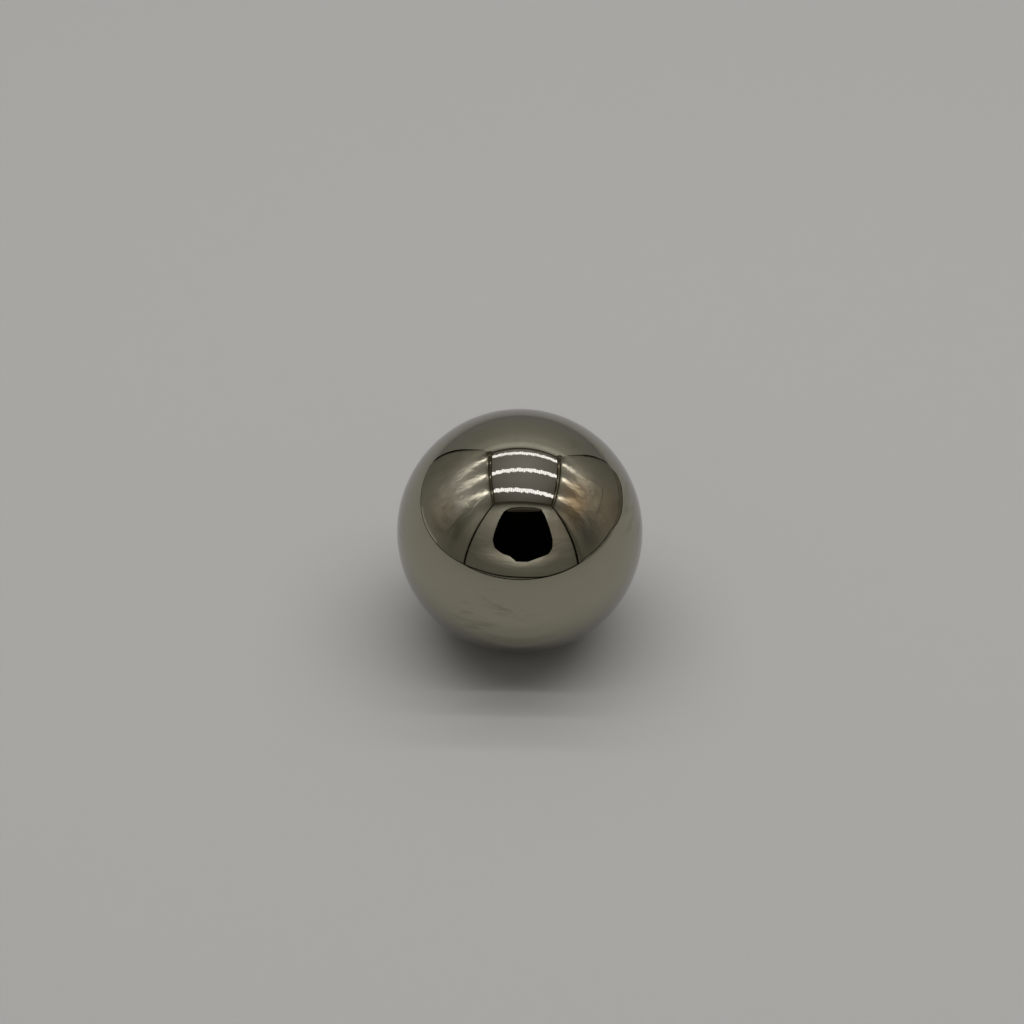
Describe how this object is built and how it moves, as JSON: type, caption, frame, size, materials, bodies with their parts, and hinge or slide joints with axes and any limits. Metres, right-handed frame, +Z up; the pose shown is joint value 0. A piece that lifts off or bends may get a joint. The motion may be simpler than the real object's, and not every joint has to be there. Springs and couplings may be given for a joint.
{
  "type": "steel ball",
  "caption": "Solid polished steel ball that rolls, locates or closes a seat, as in a bearing, a check valve, a detent or a bench fixture.",
  "frame": {"origin": "centre of the ball", "axes": "+Z up; the ball is the same about every axis"},
  "size_m": [0.0254, 0.0254, 0.0254],
  "materials": {
    "polished_steel": "ground and lapped to a mirror, bare steel with no plating"
  },
  "bodies": {
    "root": {"ball": "polished_steel"}
  },
  "joints": []
}
